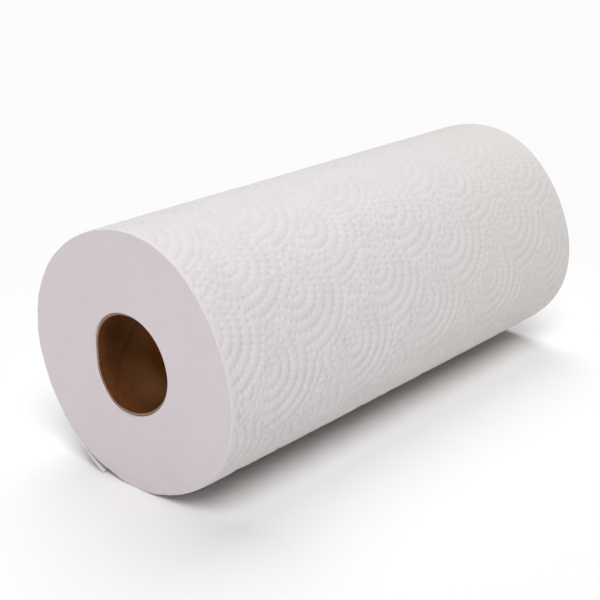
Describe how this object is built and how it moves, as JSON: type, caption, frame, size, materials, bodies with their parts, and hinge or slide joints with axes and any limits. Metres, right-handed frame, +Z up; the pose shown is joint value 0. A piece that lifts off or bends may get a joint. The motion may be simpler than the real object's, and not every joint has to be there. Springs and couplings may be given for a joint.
{
  "type": "paper towel roll",
  "caption": "Roll of embossed white paper towel wound on a cardboard core, lying on its side with the tail of the last sheet a little loose.",
  "frame": {"origin": "middle of the flat spot that the roll lies on, half way along the roll", "axes": "+Y along the roll from the near end of the picture to the far end, +Z up, +X to the side away from the loose tail"},
  "size_m": [0.1038, 0.23, 0.1002],
  "materials": {
    "towel_paper": "soft, matt, embossed with rings of small dimples",
    "core_board": "matt, uncoated"
  },
  "bodies": {
    "root": {"paper_roll": "towel_paper", "core_tube": "core_board"}
  },
  "joints": []
}
